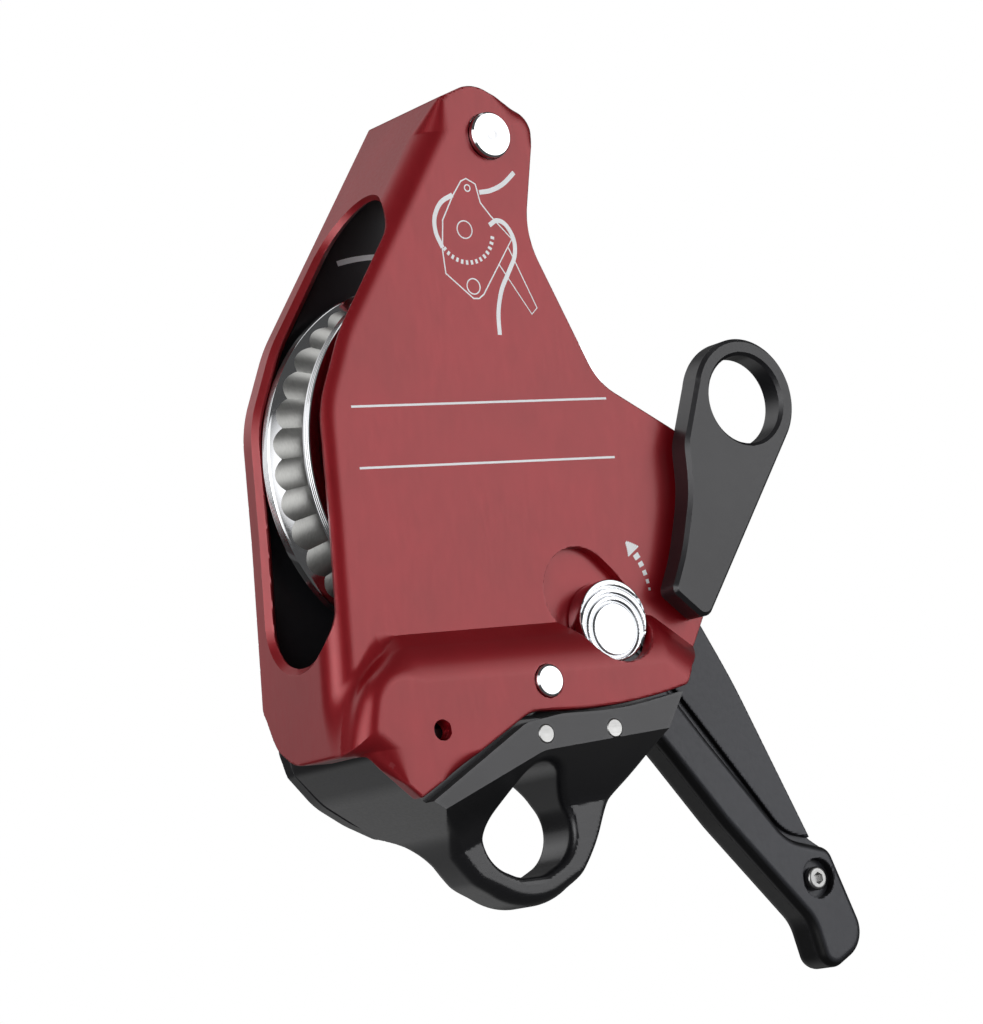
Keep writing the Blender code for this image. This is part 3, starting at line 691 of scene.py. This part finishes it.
BACK = Outline([
    (-55.5, 27.0, 3.0), (-56.0, 40.0, 60.0), (-52.6, 84.0, 200.0), (-51.0, 112.0, 30.0),
    (-41.2, 133.6, 40.0), (-0.5, 190.0, 10.0), (9.0, 199.0, 11.0), (26.5, 190.0, 9.0), (22.2, 158.0, 20.0),
    (31.0, 136.0, 60.0), (47.0, 118.0, 20.0), (70.0, 107.0, 12.0), (83.0, 92.0, 12.0), (78.0, 66.0, 12.0),
    (66.0, 50.0, 8.0), (44.5, 31.0, 8.0), (38.0, 20.8, 4.0), (10.0, 17.5, 30.0), (-14.0, 12.0, 30.0),
    (-27.0, 1.0, 6.0), (-38.5, 6.8, 30.0), (-47.0, 12.5, 20.0), (-54.0, 21.0, 3.0),
])
BECKET = Outline([(46.1, 57.4, 2.6), (56.4, 48.3, 3.6), (94.3, 98.5, 1.0), (88.0, 116.0, 1.0),
                  (65.2, 115.4, 1.0), (57.8, 97.5, 14.0), (57.2, 84.5, 45.0), (51.5, 67.6, 60.0)])
AXLE_BORE_R = 12.3
PIVOT_BORE_R = 5.8
PIN_BORE_R = 4.3
SCREW_HEAD_BORE_R = 5.8
SCREW_SEAT_Y = 19.2
BECKET_EYE_R = (12.3, 17.0)  # hole and outside
BECKET_POST_R = 6.5
SCREW_BORE_R = 3.2
SCREW_TIP_Y = -3.0


def back_plate(x, y, z):
    """Flat plate with the axle's, pivot's and pins' holes, and the becket screw's counterbore."""
    body = bevel(BACK.distance(x, z), slab(y, *BACK_Y), 0.7)
    body = cut(body, disc(x, z, AXLE, AXLE_BORE_R), 0.3)
    body = cut(body, disc(x, z, HANDLE_PIVOT, PIVOT_BORE_R), 0.3)
    body = cut(body, np.maximum(disc(x, z, BECKET_POST, SCREW_HEAD_BORE_R), SCREW_SEAT_Y - y), 0.3)
    for centre in DOWELS:
        body = cut(body, disc(x, z, centre, DOWEL_BORE_R), 0.2)
    return cut(body, disc(x, z, TOP_PIN, PIN_BORE_R), 0.3)


def becket(x, y, z):
    """Arm with the eye in front of the sheet, on a post that reaches back to the back plate."""
    hole_r, eye_r = BECKET_EYE_R
    edge = np.minimum(BECKET.distance(x, z), disc(x, z, BECKET_EYE, eye_r))
    body = bevel(edge, slab(y, *BECKET_Y), 1.0)
    body = bevel(body, -disc(x, z, BECKET_EYE, hole_r), 0.9)
    post = meet(disc(x, z, BECKET_POST, BECKET_POST_R), slab(y, -20.0, BLOCK_REAR_Y), 0.4)
    body = join(body, post, 0.8)
    return cut(body, np.maximum(disc(x, z, BECKET_POST, SCREW_BORE_R), SCREW_TIP_Y - y), 0.3)


# ---- handle

HUB_R = 24.0
LEVER_Y = (24.9, 31.0)
RIB_FRONT_Y = 23.0
RIB_REAR_Y = 37.0
RIB_SEAM_Y = 26.4
SCREW_SEAT_R = 5.6
SCREW_HEAD_Y = 25.7
SHANK_BORE_R = 2.3
HANDLE = Outline([
    (22.9, 84.0, 1.0), (76.0, 15.6, 60.0), (91.0, -4.4, 80.0), (117.2, -34.8, 12.0), (120.6, -50.8, 5.0),
    (137.4, -42.5, 9.0), (127.8, -14.4, 5.0), (122.3, -10.6, 4.0), (102.5, 36.5, 200.0), (64.85, 109.8, 1.0),
])


def rib_outline(grow):
    """Outline of the front rib, with its long sides moved out by `grow`."""
    return Outline([
        (54.0 - grow, 43.9, 4.0), (76.0 - grow, 15.6, 60.0), (91.0 - grow, -4.4, 80.0),
        (117.2 - grow, -34.8, 12.0), (120.6 - 0.5 * grow, -50.8 - grow, 5.0), (137.4 + grow, -42.5, 9.0),
        (127.8 + grow, -14.4 + grow, 5.0),
        (113.0, -10.4 + grow, 14.0), (88.5 + grow, 21.0 + grow, 60.0), (68.0 + grow, 49.0 + grow, 5.0),
    ])


RIB = rib_outline(0.0)
RIB_REBATE = rib_outline(1.8)


def handle_lever(x, y, z):
    """Flat blade and hub, with the rib's rear half and the rebate round its front half."""
    edge = join(HANDLE.distance(x, z), disc(x, z, HANDLE_PIVOT, HUB_R), 2.0)
    blade = meet(edge, slab(y, *LEVER_Y), 1.0)
    blade = cut(blade, np.maximum(RIB_REBATE.distance(x, z), y - RIB_SEAM_Y), 0.8)
    rib = np.maximum(meet(RIB.distance(x, z), y - RIB_REAR_Y, 5.0), RIB_SEAM_Y - y)
    body = np.minimum(blade, rib)
    body = cut(body, disc(x, z, HANDLE_PIVOT, PIVOT_BORE_R), 0.4)
    return cut(body, disc(x, z, HANDLE_SCREW, SHANK_BORE_R), 0.2)


def handle_cover(x, y, z):
    """Front half of the rib, with the sunk seat of its screw."""
    body = meet(RIB.distance(x, z), RIB_FRONT_Y - y, 2.6)
    body = np.maximum(body, y - RIB_SEAM_Y + 0.1)
    body = cut(body, np.maximum(disc(x, z, HANDLE_SCREW, SCREW_SEAT_R), y - SCREW_HEAD_Y), 0.6)
    return cut(body, disc(x, z, HANDLE_SCREW, SHANK_BORE_R), 0.2)


def socket_screw(x, y, z):
    """Button-head screw with a hexagon socket, facing the front."""
    px, pz = x - HANDLE_SCREW[0], z - HANDLE_SCREW[1]
    away = np.hypot(px, pz)
    head = meet(away - 3.4, slab(y, 23.2, SCREW_HEAD_Y), 0.9)
    shank = meet(away - 2.0, slab(y, 24.5, 34.0), 0.3)
    body = join(head, shank, 0.2)
    hexagon = np.abs(px)
    for turn in (60.0, 120.0):
        a = math.radians(turn)
        hexagon = np.maximum(hexagon, np.abs(px * math.cos(a) + pz * math.sin(a)))
    return cut(body, np.maximum(hexagon - 1.55, y - 24.8))


# ---- latch

BUTTON_R = 11.0
BUTTON_Y = -20.3
BUTTON_DEEP = 5.6
THUMB = (BUTTON[0] + 0.1, BUTTON[1] - 2.5)  # middle of the thumb's place, a little below the button's
THUMB_GROOVES = (7.4, 9.4, 11.5)
GROOVE_HALF = 0.6
GROOVE_DEEP = 1.2
LATCH_LEVER_Y = (-12.9, -11.5)  # its rear clears the sheave's front rim
STEM_FRONT_Y = -15.2
LATCH_LEVER_HALF = 7.6


def latch_button():
    """Button whose face has a ring groove round the thumb's place and two arc grooves beyond it."""
    a = np.linspace(0, 2 * math.pi, int(360 / COARSE), endpoint=False)[:, None]
    face = np.linspace(0.001, BUTTON_R - 0.4, int(100 / COARSE))[None, :]
    away = np.hypot(BUTTON[0] + face * np.cos(a) - THUMB[0], BUTTON[1] + face * np.sin(a) - THUMB[1])
    y = BUTTON_Y + 0.0 * away
    for r in THUMB_GROOVES:
        y += GROOVE_DEEP * np.clip(1.0 - ((away - r) / GROOVE_HALF) ** 2, 0.0, 1.0)
    edge = [(BUTTON_R - 0.12, 0.12), (BUTTON_R, 0.4), (BUTTON_R, BUTTON_DEEP - 0.3),
            (BUTTON_R - 0.3, BUTTON_DEEP), (0.001, BUTTON_DEEP)]
    ones = np.ones_like(a)
    radius = np.concatenate([face * ones] + [r * ones for r, _ in edge], axis=1)
    y = np.concatenate([y] + [(BUTTON_Y + deep) * ones for _, deep in edge], axis=1)
    polar("latch_button_face", BUTTON, radius, y, material=FINISH["polished"], body="latch",
          finish="polished_steel", stands_for=("latch_button",))
    rear = LATCH_LEVER_Y[1]
    stem = [(0.0, STEM_FRONT_Y, 0), (STEM_R, STEM_FRONT_Y, 0), (STEM_R, rear, 0.3), (0.0, rear, 0)]
    lathe("latch_button_stem", stem, STEM, 64, material=FINISH["polished"], body="latch",
          finish="polished_steel")


def latch_lever(x, y, z):
    """Flat lever behind the plate, from the latch pin to the button's stem."""
    body = meet(bar(x, z, LATCH_PIN, BUTTON, LATCH_LEVER_HALF), slab(y, *LATCH_LEVER_Y), 0.3)
    body = cut(body, disc(x, z, LATCH_PIN, PIN_BORE_R), 0.2)
    return cut(body, disc(x, z, STEM, STEM_R + 0.2), 0.2)


# ---- sheave

SHEAVE_R = 50.8
BUSH_R = 18.3
LOBES = 36
LOBE_TOP = 44.9  # radius at the bottom of the rope's groove
LOBE_CURVE = 11.0  # radius of each lobe's own curve
LOBE_REACH = 47.0  # radius at which the lobes' pitch is measured
GROOVE_MIDDLE = 0.4
GROOVE_HALF_WIDTH = 8.2
GROOVE_SLOPE = 0.7
GROOVE_BLUNT = 1.4  # square of the distance over which the bottom of the V is rounded


def lobe_rise(a):
    """Height of the scallops at angle a: convex lobes that meet in valleys."""
    pitch = 2 * math.pi / LOBES
    across = ((a / pitch + 0.5) % 1.0 - 0.5) * pitch * LOBE_REACH
    return np.sqrt(LOBE_CURVE**2 - across**2) - LOBE_CURVE


def sheave_core():
    """Core with a V groove for the rope, whose walls carry the lobes."""
    turns = int(LOBES * 40 / COARSE)
    a = np.linspace(0, 2 * math.pi, turns, endpoint=False)[:, None]
    side = np.linspace(-GROOVE_HALF_WIDTH, GROOVE_HALF_WIDTH, 33)[None, :]
    radius = LOBE_TOP + GROOVE_SLOPE * (np.sqrt(side**2 + GROOVE_BLUNT) - 1.2) + lobe_rise(a)
    ones = np.ones((turns, 1))
    bore = (BUSH_R - 0.1) * ones
    radius = np.concatenate([bore, radius, bore], axis=1)
    y = GROOVE_MIDDLE + np.concatenate([side[:, :1], side, side[:, -1:]], axis=1) * ones
    polar("sheave_core_scalloped", AXLE, radius, y, material=FINISH["scallop"], body="sheave",
          finish="brushed_steel", stands_for=("sheave_core",))


def flange(name, side, outer, node):
    """Polished flange in front (side -1) or behind; outer is its (radius, y) profile from rim to bore."""
    face = [(BUSH_R, 5.0), (46.0, 5.0), (50.2, 8.3), (50.6, 8.5), (SHEAVE_R, 8.8)]
    profile = np.array([(q, GROOVE_MIDDLE + side * offset) for q, offset in face] + outer)
    if side < 0:
        profile = profile[::-1]
    turns = int(480 / COARSE)
    ones = np.ones((turns, 1))
    polar(name, AXLE, profile[None, :, 0] * ones, profile[None, :, 1] * ones, material=FINISH["polished"],
          body="sheave", finish="polished_steel", stands_for=(node,))


def edge_rings(y0, y1, count):
    """(radius, y) profile of turned rings on the rim's outer edge between y0 and y1."""
    points = []
    for k in range(count):
        for t, depth in ((0.1, 0.0), (0.76, 0.0), (0.88, 0.12), (0.96, 0.12)):
            points.append((SHEAVE_R - depth, y0 + (y1 - y0) * (k + t) / count))
    return points


def sheave():
    """Core and both flanges."""
    sheave_core()
    rear = edge_rings(9.2, 12.0, 5)
    rear += [(SHEAVE_R - 0.3, 12.2), (SHEAVE_R - 3.0, 12.2), (SHEAVE_R - 3.4, 11.9)]
    rear += [(20.0, 11.9), (20.0, 16.5), (BUSH_R, 16.5)]
    flange("sheave_rear_flange", 1.0, rear, "sheave_flange_rear")
    front = edge_rings(-8.6, -11.0, 3)
    front += [(SHEAVE_R - 0.3, -11.3), (SHEAVE_R - 3.0, -11.3), (46.0, -8.9), (BUSH_R, -8.7)]
    flange("sheave_front_flange", -1.0, front, "sheave_flange_front")


# ---- turned hardware


def hardware():
    """The two polished pins of the side plate and the two dowels of the block."""
    polished = dict(material=FINISH["polished"], finish="polished_steel")
    pin = [(0.0, -18.85, 0), (1.3, -18.9, 0), (1.6, -19.0, 0), (5.8, -19.0, 0), (6.3, -18.5, 0),
           (6.3, -17.2, 0), (5.9, -16.9, 0), (5.9, -15.5, 0), (4.0, -15.5, 0), (4.0, 26.0, 0.6),
           (0.0, 26.0, 0)]
    lathe("top_pin_turned", pin, TOP_PIN, body="frame", stands_for=("top_pin",), **polished)
    pin = [(0.0, -26.0, 0), (3.7, -26.0, 0), (4.2, -25.6, 0), (4.3, -25.2, 0), (4.3, -13.4, 0),
           (4.0, -13.4, 0), (4.0, -8.4, 0), (0.0, -8.4, 0)]
    lathe("latch_pin_turned", pin, LATCH_PIN, body="side_plate", stands_for=("latch_pivot_pin",), **polished)
    dowel = [(0.0, -24.6, 0), (2.2, -24.7, 0), (2.45, -24.5, 0), (2.5, 21.7, 0), (2.2, 22.0, 0),
             (0.0, 22.0, 0)]
    for i, centre in enumerate(DOWELS, 1):
        lathe(f"dowel_turned_{i}", dowel, centre, 64, material=FINISH["brushed"], finish="brushed_steel",
              body="frame", stands_for=(f"block_dowel_{i}",))


# ---- marks


MARK_T = 0.05


def ribbon(points, width, y, closed=False):
    """Thin flat band along (x, z) points with its front at y, as (vertices, quads)."""
    p = np.array(points, float)
    ahead = np.roll(p, -1, axis=0) - p
    behind = p - np.roll(p, 1, axis=0)
    if not closed:
        ahead[-1] = behind[-1]
        behind[0] = ahead[0]
    way = ahead / np.linalg.norm(ahead, axis=1)[:, None] + behind / np.linalg.norm(behind, axis=1)[:, None]
    way /= np.linalg.norm(way, axis=1)[:, None]
    across = np.stack([-way[:, 1], way[:, 0]], axis=1) * width / 2
    rows = [(p + across, y), (p - across, y), (p - across, y + MARK_T), (p + across, y + MARK_T)]
    vertices = np.concatenate([np.stack([q[:, 0], np.full(len(q), h), q[:, 1]], axis=1) for q, h in rows])
    n = len(p)
    quads = []
    for i in range(n if closed else n - 1):
        j = (i + 1) % n
        for a, b in ((0, 1), (1, 2), (2, 3), (3, 0)):
            quads.append([a * n + i, b * n + i, b * n + j, a * n + j])
    return vertices, np.array(quads)


def arc_points(centre, radius, start, end, steps):
    """Points along an arc; angles in degrees."""
    a = np.radians(np.linspace(start, end, steps))
    return np.stack([centre[0] + radius * np.cos(a), centre[1] + radius * np.sin(a)], axis=1)


def smooth(points, steps=8):
    """Catmull-Rom curve through the points."""
    p = np.array(points, float)
    p = np.concatenate([2 * p[:1] - p[1:2], p, 2 * p[-1:] - p[-2:-1]])
    t = np.linspace(0, 1, steps, endpoint=False)[:, None]
    rows = []
    for a, b, c, d in zip(p, p[1:], p[2:], p[3:]):
        rows.append(b + 0.5 * t * (c - a + t * (2 * a - 5 * b + 4 * c - d + t * (3 * b - a - 3 * c + d))))
    return np.concatenate(rows + [p[-2:-1]])


def together(bands):
    """Several bands as one mesh."""
    vertices, faces, offset = [], [], 0
    for points, quads in bands:
        vertices.append(points)
        faces.append(quads + offset)
        offset += len(points)
    return np.concatenate(vertices), np.concatenate(faces)


PLATE_LINE = 0.4
THIN_LINE = 0.35
ROPE_LINE = 1.3
DASH_LINE = 1.2


def diagram(y):
    """Plain line drawing of a plate, a wheel, a lever and the rope's way round them.

    Lines that cross lie at slightly different depths.
    """
    plate = [(-2.3, 168.1), (1.0, 172.1), (2.8, 172.8), (5.6, 171.3), (6.4, 166.2), (9.3, 162.4),
             (15.1, 156.2), (3.3, 141.1), (1.6, 140.0), (-0.2, 140.0), (-8.1, 146.9), (-8.1, 153.4),
             (-6.7, 161.4)]
    bands = [ribbon(plate, PLATE_LINE, y, closed=True)]
    lever = [(9.6, 149.4), (18.2, 135.5), (20.2, 137.2), (13.5, 153.9)]
    bands.append(ribbon(lever, THIN_LINE, y - 0.007))
    ropes = [
        [(-2.4, 168.3), (-6.5, 166.2), (-9.1, 162.4), (-9.5, 158.2), (-8.0, 153.9)],
        [(6.5, 169.0), (10.5, 169.6), (14.8, 171.4), (19.0, 174.6)],
        [(8.3, 160.0), (11.0, 161.3), (13.8, 160.0), (15.7, 156.0), (15.2, 151.5), (12.4, 147.0),
         (9.2, 142.0), (7.2, 136.0), (6.6, 130.0)],
    ]
    bands += [ribbon(smooth(rope), ROPE_LINE, y - 0.015) for rope in ropes]
    wheel = (0.0, 158.8)
    for k in range(14):
        start = 213.0 + 10.0 * k
        bands.append(ribbon(arc_points(wheel, 9.0, start, start + 5.0, 3), DASH_LINE, y))
    for centre, radius in ((wheel, 2.4), ((2.8, 170.2), 0.9), ((0.3, 143.3), 2.1)):
        bands.append(ribbon(arc_points(centre, radius, 0.0, 350.0, 30), THIN_LINE, y, closed=True))
    return bands


def latch_arrow(y):
    """Dashes that widen towards an arrowhead, along the way the button slides."""
    centre, reach = (22.0, 57.5), 22.3
    bands = []
    for i, (start, end) in enumerate(((3.5, 5.5), (8.5, 11.5), (14.5, 18.0), (21.0, 24.5), (27.0, 31.0))):
        bands.append(ribbon(arc_points(centre, reach, start, end, 4), 0.7 + 0.32 * i, y))
    head = arc_points(centre, reach, 33.0, 42.0, 8)
    for k in range(7):
        bands.append(ribbon(head[k : k + 2], 4.6 * (1 - k / 7.5), y))
    return bands


def marks():
    """Etched lines, the arrow beside the button, a plain diagram, and an arc on the back plate."""
    y = PLATE_Y - 0.03
    bands = [ribbon([(-43.9, z), (39.0, z)], 0.6, y) for z in (111.9, 95.7)]
    bands += latch_arrow(y)
    bands += diagram(y)
    points, faces = together(bands)
    piece("etched_marks", points, faces, FINISH["mark"], "side_plate", sharp=30.0)
    points, faces = ribbon(arc_points(AXLE, 60.7, 60.0, 104.3, 30), 1.5, 16.92)
    piece("back_plate_mark", points, faces, FINISH["mark"], "frame", sharp=30.0)


# ---- the object


def shells():
    """Fine surface of every milled, bent or forged piece; each box holds the whole piece."""
    black = dict(material=FINISH["black"], finish="black_anodised", body="frame")
    # The handle's pieces take the darker copy of the black anodise: painted shade, with painted light on
    # their front faces.
    lever = dict(material=FINISH["black_lever_shaded"], finish="black_anodised", body="handle")
    brushed = dict(material=FINISH["brushed"], finish="brushed_steel")
    skin("side_plate_shell", side_plate, (-64, -26, 8), (66, 19, 199), 0.52, material=FINISH["red"],
         body="side_plate", finish="red_anodised", stands_for=("side_plate",))
    skin("anchor_block_milled", anchor_block, (-57, -26, -22), (46, 18, 40), 0.6,
         material=FINISH["black_block"], body="frame", finish="black_anodised", stands_for=("anchor_block",))
    skin("back_plate_cut", back_plate, (-58, 16, -1), (84, 23, 200), 0.8, stands_for=("back_plate",), **black)
    skin("becket_eye", becket, (44, -26, 46), (100, 18, 128), 0.6, stands_for=("becket",), **black)
    skin("handle_lever_forged", handle_lever, (17, 22, -54), (141, 38, 125), 0.7,
         stands_for=("handle_lever",), **lever)
    skin("handle_cover_rib", handle_cover, (50, 22, -54), (141, 28, 54), 0.5, stands_for=("handle_cover",),
         **lever)
    skin("latch_lever_blank", latch_lever, (-10, -14, 26), (39, -9, 63), 0.5, body="latch",
         stands_for=("latch_lever",), **brushed)
    skin("handle_screw_socket", socket_screw, (117, 21, -27.5), (126.5, 35, -18), 0.16, body="handle",
         stands_for=("handle_screw",), **brushed)


CARRIED = {
    "polished": ("top_pin_spacer", "sheave_axle", "latch_catch", "handle_bolt", "release_cam"),
    "brushed": ("top_pin_nut", "becket_screw", "shoe_guide_1", "shoe_guide_2"),
    "bronze": ("sheave_bush", "handle_washer"),
    "spring": ("axle_ring", "latch_spring"),
    "lining": ("brake_shoe",),
}


def carried_nodes():
    """Finishes of the hidden pieces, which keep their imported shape."""
    for finish, nodes in CARRIED.items():
        for node in nodes:
            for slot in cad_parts[node].material_slots:
                slot.material = FINISH[finish]


# ---- stage


SKY_SEEN = 1.0
SKY_LIGHT = 0.08
SOFTBOX_SPREAD = 70.0


def studio():
    """White backdrop that lights the object only a little, and soft boxes round it."""
    scene = bpy.context.scene
    scene.view_settings.view_transform = "Standard"
    world = bpy.data.worlds.new("studio")
    scene.world = world
    world.use_nodes = True
    tree = world.node_tree
    background = tree.nodes["Background"]
    seen = tree.nodes.new("ShaderNodeLightPath")
    level = tree.nodes.new("ShaderNodeMapRange")
    level.inputs["To Min"].default_value = SKY_LIGHT
    level.inputs["To Max"].default_value = SKY_SEEN
    tree.links.new(seen.outputs["Is Camera Ray"], level.inputs["Value"])
    tree.links.new(level.outputs["Result"], background.inputs["Strength"])
    background.inputs["Color"].default_value = (1.0, 1.0, 1.0, 1.0)
    middle = Vector((0.02, 0.0, 0.08))
    softbox("key", (0.75, -0.95, 0.30), middle, 1.1, 1.1, 1.12)
    softbox("front_left", (-1.0, -0.65, 0.25), middle, 1.1, 1.1, 1.7)
    softbox("left_rear", (-0.48, 1.00, 0.68), middle, 1.3, 1.3, 0.8)
    softbox("low_rear", (0.10, 1.00, -0.62), middle, 1.1, 0.8, 0.13)
    softbox("top", (0.0, 0.3, 1.3), middle, 0.9, 0.9, 0.5)
    softbox("floor_wash", (0.0, 0.0, -0.4), Vector((0.0, 0.0, -0.7)), 3.2, 3.2, 20.0)


def softbox(name, place, target, width, height, power):
    """Area light at place, facing target."""
    light = bpy.data.lights.new(name, "AREA")
    light.shape = "RECTANGLE"
    light.size = width
    light.size_y = height
    light.energy = power
    light.spread = math.radians(SOFTBOX_SPREAD)
    obj = bpy.data.objects.new(name, light)
    obj.location = place
    obj.rotation_euler = (Vector(place) - target).to_track_quat("Z", "Y").to_euler()
    bpy.context.scene.collection.objects.link(obj)


FLOOR_Z = -700.0
FLOOR_R = 1400.0


def floor():
    """Pale floor disc, lit by its own wash; the object doesn't reflect it."""
    rings, turns = 12, 96
    points, faces = [], []
    for k in range(rings + 1):
        r = max(FLOOR_R * k / rings, 0.5)
        for i in range(turns):
            a = 2 * math.pi * i / turns
            points.append((r * math.cos(a), r * math.sin(a), FLOOR_Z))
    for k in range(rings):
        for i in range(turns):
            j = (i + 1) % turns
            faces.append([k * turns + i, (k + 1) * turns + i, (k + 1) * turns + j, k * turns + j])
    mesh = bpy.data.meshes.new("floor")
    mesh.from_pydata([tuple(c / 1000.0 for c in p) for p in points], [], faces)
    material = bpy.data.materials.new("pale_floor")
    n = Nodes(material)
    drift = n.grain((1.0, 1.0, 1.0), (0, 0, 0), 6.0)
    tone = n.ramp(drift, [(0.3, (0.86, 0.86, 0.86)), (0.7, (0.90, 0.90, 0.90))])
    n.link(tone, n.shader.inputs["Base Color"])
    n.shader.inputs["Roughness"].default_value = 0.8
    mesh.materials.append(material)
    obj = bpy.data.objects.new("floor", mesh)
    bpy.context.scene.collection.objects.link(obj)
    obj.visible_diffuse = False
    obj.visible_glossy = False


AZIMUTH, ELEVATION, ROLL = -36.017, -6.967, -8.095
AIM = Vector((-0.0043, -0.017, 0.0825))
DISTANCE = 1.0096
LENS_MM = 134.9


def camera():
    """Long lens from the front left, a little below the object, rolled as the object hangs in view."""
    azimuth, elevation, roll = math.radians(AZIMUTH), math.radians(ELEVATION), math.radians(ROLL)
    back = Vector((math.sin(azimuth) * math.cos(elevation), -math.cos(azimuth) * math.cos(elevation),
                   math.sin(elevation)))
    level = (-back).cross(Vector((0, 0, 1))).normalized()
    above = level.cross(-back)
    right = math.cos(roll) * level + math.sin(roll) * above
    up = -math.sin(roll) * level + math.cos(roll) * above
    lens = bpy.data.cameras.new("camera")
    lens.lens = LENS_MM
    lens.sensor_width = 36.0
    lens.clip_start = 0.05
    obj = bpy.data.objects.new("camera", lens)
    place = AIM + back * DISTANCE
    turn = Matrix((right, up, back)).transposed().to_4x4()
    obj.matrix_world = Matrix.Translation(place) @ turn
    bpy.context.scene.collection.objects.link(obj)
    bpy.context.scene.camera = obj


shells()
sheave()
latch_button()
hardware()
marks()
carried_nodes()
floor()
camera()
studio()
